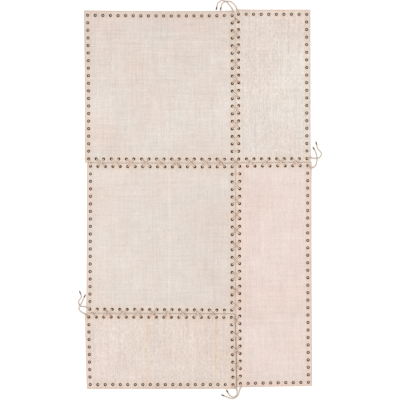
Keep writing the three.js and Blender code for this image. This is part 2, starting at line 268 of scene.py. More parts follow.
def mix_node(tree, factor, first, second, blend="MIX"):
    inputs = {"Factor": factor, "A": first, "B": second}
    return add_node(tree, "ShaderNodeMix", inputs, data_type="RGBA", blend_type=blend)["Result"]


def mask_node(tree, value, low, high, curve="LINEAR"):
    """A mask that goes from 0 at low to 1 at high."""
    inputs = {"Value": value, "From Min": low, "From Max": high}
    return add_node(tree, "ShaderNodeMapRange", inputs, interpolation_type=curve)["Result"]


def bump_node(tree, height, distance, strength):
    inputs = {"Height": height, "Distance": distance, "Strength": strength}
    return add_node(tree, "ShaderNodeBump", inputs)["Normal"]


BRAID_SHADED_SIDES = (0.35, 0.85)  # across the braid, where the painted shade of its sides begins and where it is full
# Painted shade in the grooves between the plait's strands
SHADE_BETWEEN_STRANDS = (0.80, 0.73, 0.67, 1)
BRAID_SOIL_SCALE = 34
BRAID_SOIL = (0.42, 0.66)
# Painted shade on a lace down inside an eyelet
SHADE_DOWN_IN_EYELET = (0.38, 0.34, 0.31, 1)


def braid_material(name, pale, edge, soil, shade_heights):
    """Slanted lobes of yarn with painted shade between them and towards the braid's sides, soiled in patches.

    Going down into an eyelet it gets painted shade, from the first to the second of the given heights, which
    are in metres.
    """
    material, tree, shader = new_material(name)
    uv_map = add_node(tree, "ShaderNodeUVMap", {}, uv_map="UVMap")["UV"]
    uv = add_node(tree, "ShaderNodeSeparateXYZ", {0: uv_map})
    side = math_node(tree, "ABSOLUTE", uv["X"])
    run = math_node(tree, "DIVIDE", uv["Y"], PLAIT / 1000)
    left = math_node(tree, "MULTIPLY", math_node(tree, "LESS_THAN", uv["X"], 0.0), 0.5)
    slant = math_node(tree, "MULTIPLY_ADD", side, PLAIT_SLANT, left)
    lobe = math_node(tree, "MULTIPLY", math_node(tree, "ADD", run, slant), math.pi)
    strand = math_node(tree, "ABSOLUTE", math_node(tree, "SINE", lobe))
    place = add_node(tree, "ShaderNodeTexCoord", {})["Object"]
    patches = add_node(tree, "ShaderNodeTexNoise", {"Vector": place, "Scale": BRAID_SOIL_SCALE, "Detail": 2})
    height = add_node(tree, "ShaderNodeSeparateXYZ", {0: place})["Z"]
    # Painted shade between the strands and down in an eyelet; the soil patches are real dirt
    layers = [
        (math_node(tree, "SUBTRACT", 1.0, strand), SHADE_BETWEEN_STRANDS),
        (mask_node(tree, patches["Fac"], *BRAID_SOIL), soil),
        (mask_node(tree, height, *shade_heights), SHADE_DOWN_IN_EYELET),
    ]
    # Painted shade: towards its sides the braid turns to the darker edge colour
    colour = mix_node(tree, mask_node(tree, side, *BRAID_SHADED_SIDES, "SMOOTHSTEP"), pale, edge)
    for mask, shade in layers:
        colour = mix_node(tree, mask, colour, shade, "MULTIPLY")
    set_inputs(tree, shader, {
        "Base Color": colour, "Roughness": 0.85, "Sheen Weight": 0.15,
        "Normal": bump_node(tree, strand, distance=0.0008, strength=0.7),
    })
    return material


# The free ends lie in the open, so the heights where their painted eyelet shade sets in are below the floor.
# Their edge colour is the painted shade of the braid's sides
clean_braid = braid_material(
    "lace_braid", pale=(0.72, 0.64, 0.59, 1), edge=(0.32, 0.255, 0.22, 1), soil=(0.94, 0.92, 0.90, 1),
    shade_heights=(-0.001, -0.002),
)


# Lace tips. Each is a short tapered tube of dark gunmetal, slipped over a free end and crimped on it with
# two rolled rings. Its tarnish, a darker film that is worn off in places, is shared with the eyelets.
FILM_ROUGH = 0.25
BROWN_GLINT = (0.42, 0.22, 0.14, 1)


def new_group(name, sockets_in, sockets_out):
    """A shader node group with named inputs, some with a value, and outputs."""
    group = bpy.data.node_groups.new(name, "ShaderNodeTree")
    for label, kind, *value in sockets_in:
        socket = group.interface.new_socket(label, in_out="INPUT", socket_type=kind)
        if value:
            socket.default_value = value[0]
    for label, kind in sockets_out:
        group.interface.new_socket(label, in_out="OUTPUT", socket_type=kind)
    return group, group.nodes.new("NodeGroupInput"), group.nodes.new("NodeGroupOutput")


film_tree, group_in, group_out = new_group(
    "tarnish",
    [("Scale", "NodeSocketFloat"), ("Film", "NodeSocketColor"), ("Metal", "NodeSocketColor"),
     ("Rough", "NodeSocketFloat")],
    [("Color", "NodeSocketColor"), ("Roughness", "NodeSocketFloat"), ("Height", "NodeSocketFloat")],
)
place = add_node(film_tree, "ShaderNodeTexCoord", {})["Object"]
film_noise = {"Vector": place, "Scale": group_in.outputs["Scale"], "Detail": 4}
worn_off = add_node(film_tree, "ShaderNodeTexNoise", film_noise)["Fac"]
set_inputs(film_tree, group_out, {
    "Color": mix_node(film_tree, worn_off, group_in.outputs["Film"], group_in.outputs["Metal"]),
    "Roughness": math_node(film_tree, "MULTIPLY_ADD", worn_off, FILM_ROUGH, group_in.outputs["Rough"]),
    "Height": worn_off,
})


def metal_material(name, film, metal, rough, scale):
    material, tree, shader = new_material(name)
    values = {"Film": film, "Metal": metal, "Rough": rough, "Scale": scale}
    tarnish = add_node(tree, "ShaderNodeGroup", values, node_tree=film_tree)
    set_inputs(tree, shader, {
        "Base Color": tarnish["Color"], "Roughness": tarnish["Roughness"], "Metallic": 1.0,
        "Specular Tint": BROWN_GLINT,
        "Normal": bump_node(tree, tarnish["Height"], distance=0.0002, strength=0.4),
    })
    return material


gunmetal = metal_material(
    "gunmetal", film=(0.040, 0.012, 0.010, 1), metal=(0.130, 0.042, 0.034, 1), rough=0.55, scale=400
)
TIP_PROFILE = [
    # along, radius
    (0.0, 3.5), (0.2, 4.1), (0.8, 4.5), (3.6, 4.5), (4.2, 4.0), (4.9, 4.0), (5.5, 4.4), (8.4, 4.3),
    (9.0, 3.9), (9.7, 3.9), (10.3, 4.2), (22.4, 3.5), (23.4, 3.1), (24.0, 2.1),
]
TIP_SIDES = 20


def tip_piece(name, foot, run):
    """A closed turned tube from its foot on, level along the run."""
    turned = bmesh.new()
    across = np.array([-run[1], run[0], 0.0])
    rings = []
    for along, radius in TIP_PROFILE:
        ring = []
        for i in range(TIP_SIDES):
            turn = 2 * math.pi * i / TIP_SIDES
            place = foot + run * along + across * radius * math.cos(turn)
            place = place + np.array([0, 0, radius * math.sin(turn)])
            ring.append(turned.verts.new(place / 1000))
        rings.append(ring)
    for near, far in zip(rings, rings[1:]):
        for i in range(TIP_SIDES):
            k = (i + 1) % TIP_SIDES
            turned.faces.new((near[i], near[k], far[k], far[i])).smooth = True
    turned.faces.new(rings[0][::-1])
    turned.faces.new(rings[-1])
    bmesh.ops.recalc_face_normals(turned, faces=turned.faces)
    piece = finish_mesh(name, turned)
    piece.data.materials.append(gunmetal)
    return piece


for name, eyelet, hem, route, over in FREE_ENDS:
    points = lay_end(eyelet, hem, route, over, CORD_STEPS)
    # The tip goes on as the last of the CAD's longer steps runs, and its widest part rests on the floor
    coarse = lay_end(eyelet, hem, route, over, CAD_STEPS)
    run = (coarse[-1] - coarse[-2]) * (1, 1, 0)
    run /= np.linalg.norm(run)
    foot = coarse[-1] + run * TIP_GAP
    foot[2] = max(radius for _, radius in TIP_PROFILE)

    tip = tip_piece(f"fitting_{name}", foot, run)
    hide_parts(f"tip_{name}")
    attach(tip, "root")

    band = braid_band(f"cord_{name}", points)
    band.data.materials.append(clean_braid)
    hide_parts(f"end_{name}")
    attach(band, "root")


# The panels' plan. Each panel is a separate cloth, hand-cut, so none is square: the table gives where its
# corner eyelets lie, how far each side bows, and its hem's width past the eyelets, as in the CAD.
PITCH = 60.0
HEM_INSIDE = 28.0
SIDES = ("west", "east", "south", "north")
PANELS = [
    dict(name="north_west", columns=(0, 19), rows=(0, 19), nw=(-880, 1469), ne=(272, 1466), sw=(-872, 323),
         se=(272, 321), bow=(3, 2, 0, -4), margin=(29, 23, 28, 37), laced=("east", "south")),
    dict(name="north_east", columns=(20, 29), rows=(0, 19), nw=(323, 1476), ne=(867, 1476), sw=(326, 323),
         se=(869, 325), bow=(0, 0, 0, 0), margin=(23, 28, 27, 36), laced=("west", "south")),
    dict(name="west", columns=(0, 19), rows=(20, 39), nw=(-857, 264), ne=(272, 260), sw=(-862, -875),
         se=(270, -883), bow=(1, 2, 0, -2), margin=(28, 27.5, 28.5, 28), laced=("north", "east", "south")),
    dict(name="south_west", columns=(0, 19), rows=(40, 49), nw=(-871, -938), ne=(267, -941), sw=(-859, -1477),
         se=(279, -1477), bow=(-2, 2, 0, 0), margin=(28, 29, 35, 28.5), laced=("north", "east")),
    dict(name="east", columns=(20, 29), rows=(20, 49), nw=(334, 264), ne=(876, 269), sw=(339, -1468),
         se=(881, -1459), bow=(-4, -2, 0, 0), margin=(30, 28, 30, 27), laced=("north", "west")),
]
for panel in PANELS:
    panel["width"] = PITCH * (panel["columns"][1] - panel["columns"][0])
    panel["depth"] = PITCH * (panel["rows"][1] - panel["rows"][0])
    panel["margin"] = dict(zip(SIDES, panel["margin"]))


def plan(panel, u, v):
    """Where a point of the panel's own square plan lies on the floor."""
    s, t = u / panel["width"], v / panel["depth"]
    west, east, south, north = panel["bow"]

    def mix(axis):
        return (1 - t) * ((1 - s) * panel["sw"][axis] + s * panel["se"][axis]) + t * (
            (1 - s) * panel["nw"][axis] + s * panel["ne"][axis]
        )

    x = mix(0) + 4 * t * (1 - t) * ((1 - s) * west + s * east)
    y = mix(1) + 4 * s * (1 - s) * ((1 - t) * south + t * north)
    return x, y


def holds(panel, column, row):
    (west, east), (north, south) = panel["columns"], panel["rows"]
    return west <= column <= east and north <= row <= south


def eyelet_place(column, row):
    panel = next(each for each in PANELS if holds(each, column, row))
    return plan(panel, PITCH * (column - panel["columns"][0]), PITCH * (panel["rows"][1] - row))


def rim_eyelets(panel):
    """Where the panel's eyelets stand in its own plan, all round its rim."""
    places = []
    for column in range(panel["columns"][1] - panel["columns"][0] + 1):
        for row in range(panel["rows"][1] - panel["rows"][0] + 1):
            u, v = PITCH * column, PITCH * row
            if u in (0, panel["width"]) or v in (0, panel["depth"]):
                places.append((u, v))
    return places


def insides(panel, u, v):
    """How far a point lies inside each side's line of eyelets."""
    return {"west": u, "east": panel["width"] - u, "south": v, "north": panel["depth"] - v}


# Laces. The same flat braid joins the panels: from a straight bar at the first pair of eyelets two legs
# run along the seam, up through an eyelet, across the seam, down, and along the back to the next one.
LACE_OVER = 19.2  # the middle of a lace where it passes over the other leg
LACE_TURN = 5.0
TURN_SHARE = 0.45  # of the shorter run at a corner
UPRIGHT = 2.0  # a run that covers less than this in plan goes straight up or down
DIVE_APART = 14.0
DIVE_CORNER = -5  # among a leg's corners, where it goes down between the hems
LACES = [
    # name, steps, which leg lies on top at each crossing, the eyelets of step k, the free ends' first points
    ("cross", 29, "aababbabaabaab", lambda k: ((k, 19), (k, 20)), ((890, 333), (890, 257))),
    ("upper", 18, "abbabaab", lambda k: ((19, 18 - k), (20, 18 - k)), ((275, 1491), (317, 1492))),
    ("lower", 28, "baabbababbaab", lambda k: ((19, 21 + k), (20, 21 + k)), ((286, -1491), (342, -1492))),
    ("short", 18, "babbabaa", lambda k: ((18 - k, 39), (18 - k, 40)), ((-875, -867), (-886, -924))),
]


def lay_leg(steps, over, pair, start, onward_points):
    """One leg's corners, from the bar at its first eyelet to where it goes on as a free end."""
    corners = []

    def hole(k, which):
        return np.array(eyelet_place(*pair(k)[which]), float)

    def put(place, *heights):
        corners.extend(np.array([*place, z]) for z in heights)

    where = start
    put(hole(0, where), LACE_TOP, LACE_BACK)
    dives = steps % 2 == 0
    last_crossing = steps - 2 if dives else steps - 1
    for k in range(1, last_crossing, 2):
        put(hole(k, where), LACE_BACK, LACE_TOP)
        middle = (hole(k, where) + hole(k + 1, 1 - where)) / 2
        if over[(k - 1) // 2] == "ab"[start]:
            put(middle, LACE_OVER)
        where = 1 - where
        put(hole(k + 1, where), LACE_TOP, LACE_BACK)
    if dives:
        k = steps - 1
        put(hole(k, where), LACE_BACK, LACE_TOP)
        middle = (hole(k, 0) + hole(k, 1) + hole(k + 1, 0) + hole(k + 1, 1)) / 4
        onward = hole(k + 1, where) - hole(k, where)
        put(middle + onward / np.linalg.norm(onward) * (where - 0.5) * DIVE_APART, LACE_TOP, LACE_BACK)
        where = 1 - where
    put(hole(steps, where), LACE_BACK, LACE_TOP)
    outward = np.array(onward_points[where], float) - corners[-1][:2]
    put(corners[-1][:2] + outward / np.linalg.norm(outward) * STUB, LACE_TOP)
    return corners


def round_corners(corners):
    """The lace's points with each corner turned softly, and which way its width lies at each."""
    runs = [b - a for a, b in zip(corners, corners[1:])]
    levels, last = [], None
    for step in runs:
        if math.hypot(step[0], step[1]) > UPRIGHT:
            level = np.array([-step[1], step[0], 0]) / math.hypot(step[0], step[1])
            last = level if last is None or level @ last > 0 else -level
            levels.append(last)
        else:
            levels.append(None)
    known = [i for i, level in enumerate(levels) if level is not None]
    levels = [levels[min(known, key=lambda j: abs(j - i))] for i in range(len(levels))]
    points, widths = [corners[0]], [levels[0]]
    for i in range(1, len(corners) - 1):
        back, ahead = runs[i - 1], runs[i]
        reach = min(LACE_TURN, TURN_SHARE * np.linalg.norm(back), TURN_SHARE * np.linalg.norm(ahead))
        near = corners[i] - back / np.linalg.norm(back) * reach
        far = corners[i] + ahead / np.linalg.norm(ahead) * reach
        for t in (0, 0.25, 0.5, 0.75, 1):
            points.append(near * (1 - t) ** 2 + corners[i] * 2 * t * (1 - t) + far * t * t)
            widths.append(levels[i - 1] * (1 - t) + levels[i] * t)
    points.append(corners[-1])
    widths.append(levels[-1])
    return np.array(points), np.array(widths)


# The laces' edge colour is painted shade of the braid's sides, and below the hem's top they get painted shade
# going into an eyelet
worn_braid = braid_material(
    "lace_braid_worn", pale=(1.0, 0.88, 0.75, 1), edge=(0.56, 0.32, 0.20, 1), soil=(0.68, 0.56, 0.46, 1),
    shade_heights=(0.0142, 0.0115),
)
dives = []
for name, steps, over, pair, onward_points in LACES:
    legs = [lay_leg(steps, over, pair, start, onward_points) for start in (0, 1)]
    if steps % 2 == 0:
        dives += [leg[DIVE_CORNER][:2] for leg in legs]
    points, widths = round_corners(legs[0][::-1] + legs[1])
    lace = braid_band(f"braid_{name}", points, widths)
    lace.data.materials.append(worn_braid)
    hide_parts(f"lace_{name}")
    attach(lace, "root")


# The weave's look, shared by the five cloths: a plain weave of uneven handspun hemp. Some yarns are
# thicker or darker for part of their length, along and across, and the dye is cloudy.
YARN_STREAKS = [
    # streaks per metre across a yarn, and along it, detail, distortion: long thick yarns, slubs, flecks
    (60, 2.2, 3, 0.3), (130, 11, 2, 0.5), (150, 42, 2, 0.6),
]
CLOUD_SCALE = (5, 5, 5)
GRAIN_SCALE = (380, 380, 380)
WARM_SCALE = (3.1, 3.4, 23)
WARM_CONTRAST = 3.0
STRAY_SCALE = (60, 60, 60)
YARN_STRAYS = 0.0025  # metres to a side
WEAVE_RELIEF = 0.5
THICK_RELIEF = 1.5
weave_tree, group_in, group_out = new_group(
    "handwoven",
    [("Warp Streaks", "NodeSocketFloat"), ("Weft Streaks", "NodeSocketFloat"), ("Flecks", "NodeSocketFloat"),
     ("Clouds", "NodeSocketFloat", 0.15), ("Yarn", "NodeSocketFloat", 0.0032),
     ("Grain", "NodeSocketFloat", 0.3)],
    [("Tone", "NodeSocketFloat"), ("Warmth", "NodeSocketFloat"), ("Height", "NodeSocketFloat")],
)
place = add_node(weave_tree, "ShaderNodeTexCoord", {})["Object"]


def weave_math(operation, *inputs, **settings):
    return math_node(weave_tree, operation, *inputs, **settings)


def streaked_noise(scale, detail, distortion=0.0):
    stretched = add_node(weave_tree, "ShaderNodeMapping", {"Vector": place, "Scale": scale})["Vector"]
    inputs = {"Vector": stretched, "Scale": 1.0, "Detail": detail, "Roughness": 0.6, "Distortion": distortion}
    return weave_math("SUBTRACT", add_node(weave_tree, "ShaderNodeTexNoise", inputs)["Fac"], 0.5)


def total(*terms):
    result = terms[0]
    for term in terms[1:]:
        result = weave_math("ADD", result, term)
    return result


warp_streaks = [streaked_noise((across, along, 1), *look) for across, along, *look in YARN_STREAKS]
weft_streaks = [streaked_noise((along, across, 1), *look) for across, along, *look in YARN_STREAKS]
warp, weft = total(*warp_streaks), total(*weft_streaks)
strengths = [
    (warp, "Warp Streaks"), (weft, "Weft Streaks"), (streaked_noise(CLOUD_SCALE, 4), "Clouds"),
    (streaked_noise(GRAIN_SCALE, 2), "Grain"), (warp_streaks[-1], "Flecks"),
]
shades = [weave_math("MULTIPLY", noise, group_in.outputs[label]) for noise, label in strengths]
strays = weave_math("MULTIPLY", streaked_noise(STRAY_SCALE, 2), YARN_STRAYS)
spread = add_node(weave_tree, "ShaderNodeSeparateXYZ", {0: place})
threads = []
for axis in ("X", "Y"):
    turn = weave_math("DIVIDE", weave_math("ADD", spread[axis], strays), group_in.outputs["Yarn"])
    threads.append(weave_math("SINE", weave_math("MULTIPLY", turn, math.pi)))
plain_weave = weave_math("MULTIPLY", *threads)
thick_yarns = total(*(weave_math("MULTIPLY", yarns, THICK_RELIEF) for yarns in (warp, weft)))
set_inputs(weave_tree, group_out, {
    "Tone": total(1.0, *shades),
    "Warmth": weave_math("MULTIPLY_ADD", streaked_noise(WARM_SCALE, 4), WARM_CONTRAST, 0.5, clamp=True),
    "Height": total(weave_math("MULTIPLY", plain_weave, WEAVE_RELIEF), thick_yarns),
})


# The five cloths. Each is woven of the same hemp in a lot of its own, with its hems turned in and sewn all
# round. They differ in colour and in how strong their streaks are, and a few marks on each stand out; some
# of these are painted highlight and painted shade along creases.
CLOTHS = {
    "north_west": dict(colour=(0.735, 0.674, 0.620), warp=0.23, weft=0.20, warmth=0.080),
    "north_east": dict(colour=(0.755, 0.694, 0.636), warp=0.33, weft=0.16, warmth=0.065, flecks=0.29),
    "west": dict(colour=(0.737, 0.672, 0.617), warp=0.20, weft=0.18, warmth=0.060),
    "south_west": dict(colour=(0.740, 0.647, 0.586), warp=0.28, weft=0.13, warmth=0.045, flecks=0.32),
    "east": dict(colour=(0.780, 0.672, 0.621), warp=0.22, weft=0.15, warmth=0.050),
}
MARKS_AND_CREASE_SHADING = {
    # lengthways or crosswise, the mark's middle, from, to, its half width, colour change
    "north_west": [
        ("across", 1420, -920, 300, 200, (-0.028, -0.058, -0.060)),
        ("across", 620, -920, 300, 260, (0.008, 0.016, 0.018)),
        ("along", -800, 360, 900, 110, (0.030, 0.026, 0.028)),
        # Painted highlight and painted shade on the two slopes of the crease at 961
        ("across", 966, -830, -110, 7, (0.036, 0.036, 0.034)),
        ("across", 948, -830, -110, 7, (-0.034, -0.036, -0.032)),
        # Painted shade along a crease
        ("across", 1278, -363, 240, 7, (-0.040, -0.044, -0.044)),
        ("across", 1352, -760, -560, 9, (-0.030, -0.045, -0.050)),
        ("along", -300, 1360, 1420, 70, (-0.020, -0.030, -0.040)),
    ],
    "north_east": [
        ("across", 1420, 300, 900, 200, (-0.018, -0.040, -0.040)),
        ("across", 790, 300, 900, 170, (0.012, 0.028, 0.028)),
        ("across", 1206, 300, 900, 7, (0.030, 0.036, 0.034)),
        ("across", 1086, 440, 700, 7, (-0.055, -0.065, -0.070)),
        ("across", 893, 300, 900, 8, (0.050, 0.052, 0.052)),
        ("across", 813, 300, 900, 8, (-0.025, -0.028, -0.030)),
        ("along", 412, 1080, 1300, 9, (-0.030, -0.050, -0.080)),
        ("along", 502, 1260, 1476, 8, (-0.045, -0.050, -0.060)),
        ("along", 680, 537, 581, 26, (-0.012, -0.030, -0.060)),
    ],
    "west": [
        ("along", -800, -880, 260, 230, (0.030, 0.024, 0.024)),
        ("along", 160, -880, 60, 230, (-0.030, -0.040, -0.038)),
        # Painted highlight along the crease at -227, and painted shade beside it
        ("along", -227, -880, 260, 9, (0.055, 0.052, 0.050)),
        ("along", -244, -880, 260, 7, (-0.025, -0.025, -0.022)),
        # Painted highlight along the crease at 5
        ("along", 8, -880, -180, 9, (0.026, 0.026, 0.026)),
        ("across", 20, -740, -360, 9, (-0.030, -0.044, -0.046)),
        ("across", 24, -170, 70, 10, (-0.036, -0.036, -0.040)),
    ],
    "south_west": [
        ("along", -800, -1480, -930, 240, (0.036, 0.040, 0.055)),
        ("along", 210, -1480, -930, 230, (-0.014, -0.020, -0.032)),
        ("along", -411, -1480, -930, 12, (0.012, -0.036, -0.110)),
        ("along", 146, -1480, -930, 12, (0.012, -0.026, -0.080)),
        ("along", -797, -1345, -1230, 10, (-0.010, -0.030, -0.070)),
        ("along", -76, -1120, -960, 9, (-0.050, -0.055, -0.070)),
        ("along", -38, -1480, -930, 10, (0.035, 0.040, 0.045)),
        ("across", -1258, 120, 250, 35, (-0.004, -0.016, -0.050)),
    ],
    "east": [
        ("across", -1390, 320, 900, 120, (-0.020, -0.026, -0.038)),
        ("across", -900, 320, 900, 110, (-0.008, -0.012, -0.022)),
        ("across", -300, 320, 900, 150, (0.010, 0.018, 0.022)),
        ("across", -308, 320, 900, 9, (0.024, 0.028, 0.032)),
        ("across", -695, 320, 900, 8, (-0.030, -0.034, -0.034)),
        # Painted highlight along the crease at -962, and painted shade beside it
        ("across", -966, 320, 900, 8, (0.045, 0.055, 0.070)),
        ("across", -988, 320, 900, 10, (-0.018, -0.034, -0.038)),
        ("along", 800, -280, -220, 26, (-0.004, -0.022, -0.050)),
        ("along", 750, -950, -870, 16, (-0.006, -0.030, -0.055)),
    ],
}
# Creases that a cloth keeps from being folded: from, to, height, half width
CREASES = {
    "north_west": [((-590, 1376), (-415, 1344), 1.8, 9), ((-821, 961), (-263, 961), 1.0, 7)],
    "west": [((-227, 250), (-227, -866), 1.6, 9), ((5, 250), (5, -866), 0.8, 8)],
    "north_east": [((330, 1392), (345, 1210), 2.0, 12)],
    "south_west": [((-414, -1440), (-414, -960), 0.8, 8)],
    "east": [((420, -962), (860, -962), 0.7, 7)],
}
CREASE_END = 30.0


def crease_rise(panel, x, y):
    rise = 0.0
    for (x0, y0), (x1, y1), height, half in CREASES.get(panel["name"], []):
        along = np.array([x1 - x0, y1 - y0], float)
        length = np.linalg.norm(along)
        along /= length
        offset = np.array([x - x0, y - y0])
        reach = offset @ along
        aside = abs(offset[0] * along[1] - offset[1] * along[0])
        ends = smooth(reach, -CREASE_END, CREASE_END)
        ends *= 1 - smooth(reach, length - CREASE_END, length + CREASE_END)
        rise += height * ends * math.exp(-(aside / half) ** 2)
    return rise


HEM = 5.0  # its thickness, and that of the single cloth
CLOTH = 3.0
HEM_FADE = (18.0, 50.0)
LACED_LIFT = 5.6
LACED_RAMP = (HEM_INSIDE - 4.0, HEM_INSIDE + 100.0)
OUTER_LIFT = 1.3
OUTER_RAMP = (HEM_INSIDE, HEM_INSIDE + 20.0)
WAVES = 5
WAVE_HEIGHT = (0.3, 0.8)
WAVE_TURN = (0.006, 0.02)  # radians for each millimetre
WAVES_FADE = (20.0, 90.0)
FULL_TURN = 6.28
CREASE_FADE = (10.0, 50.0)
PUCKER = 1.3
PUCKER_FADE_IN = (6.0, 34.0)
PUCKER_FADE_OUT = (40.0, 120.0)
FOLD_ROUND = 2.4  # how far in from the edge the hem's outer fold is rounded
FOLD_SHARE = 0.42  # how much of the hem's thickness its rounding takes, above and below


def cloth_heights(panel, u, v, waves):
    """The underside's and the face's height at a point of the panel's plan."""
    near = insides(panel, u, v)
    nearest = min(near.values())
    under = 0.0
    for side in SIDES:
        lift, ramp = (LACED_LIFT, LACED_RAMP) if side in panel["laced"] else (OUTER_LIFT, OUTER_RAMP)
        under = max(under, lift * (1 - smooth(near[side], *ramp)))
    thick = HEM - (HEM - CLOTH) * smooth(nearest, *HEM_FADE)
    x, y = plan(panel, u, v)
    rise = sum(h * (0.5 + 0.5 * math.sin(x * kx + y * ky + phase)) for h, kx, ky, phase in waves)
    rise *= smooth(nearest, *WAVES_FADE)
    rise += crease_rise(panel, x, y) * smooth(nearest, *CREASE_FADE)
    # Between two laced eyelets the hem's inner side puckers a little
    for side in panel["laced"]:
        run = v if side in ("west", "east") else u
        pucker = smooth(near[side], *PUCKER_FADE_IN) * (1 - smooth(near[side], *PUCKER_FADE_OUT))
        rise += PUCKER * pucker * (0.5 - 0.5 * math.cos(2 * math.pi * run / PITCH))
    # The hem's outer fold is round
    past = min(near[side] + panel["margin"][side] for side in SIDES)
    away = 1 - min(past, FOLD_ROUND) / FOLD_ROUND
    round_off = FOLD_SHARE * (1 - math.sqrt(max(0.0, 1 - away**2)))
    return under + rise + thick * round_off, under + rise + thick * (1 - round_off)


# What soil, handling, stains and painted shade take from a cloth's red, green and blue, and how far in from
# where they fade
# Painted shade along the cloth's rounded outer edge
EDGE_SHADE = (0.23, 0.31, 0.35)
EDGE_REACH = (0.5, 5.0)
# Warmer over the laced hems: partly rubbing from the laces, partly painted shade under them
LACED_SOIL_AND_SHADE = (0.004, 0.026, 0.062)
LACED_REACH = (6.0, 46.0)
OUTER_SOIL = (0.012, 0.048, 0.078)
OUTER_REACH = (4.0, 36.0)
RING_SOIL = (0.0, 0.045, 0.105)
RING_REACH = (9.0, 24.0)
# Painted shade along a seam's edges, in place of an outer edge's painted shade. The lowest part of the long
# seam is the darkest, a painted shadow in the gap between the cloths
UPPER_SEAM_SHADE, MIDDLE_SEAM_SHADE, LOWER_SEAM_SHADE = (0.02, 0.04, 0.05), (0.13, 0.18, 0.22), (0.66, 0.68, 0.70)
SEAM_SHADE = {
    ("north_west", "east"): UPPER_SEAM_SHADE, ("north_east", "west"): UPPER_SEAM_SHADE, ("west", "east"): MIDDLE_SEAM_SHADE,
    ("east", "west"): MIDDLE_SEAM_SHADE, ("south_west", "east"): LOWER_SEAM_SHADE,
}
SEAM_REACH = (0.5, 4.2)
LOWER_SEAM_TOP = -915.0
MARK_FADE = (60.0, 40.0)  # inward and outward from each end of a mark
# The east cloth's laced hem is wider beside the corner where the two cloths west of it meet
WIDER = 4.5
WIDER_MIDDLE = -930.0
WIDER_ALONG = (90.0, 320.0)
WIDER_PAST = (8.0, 30.0)
STATION = 10.0  # from one row of the sheet's points to the next
FOLD_STATION = 0.7
HOLE_RADIUS = 7.0
DIVE_RADIUS = 6.0


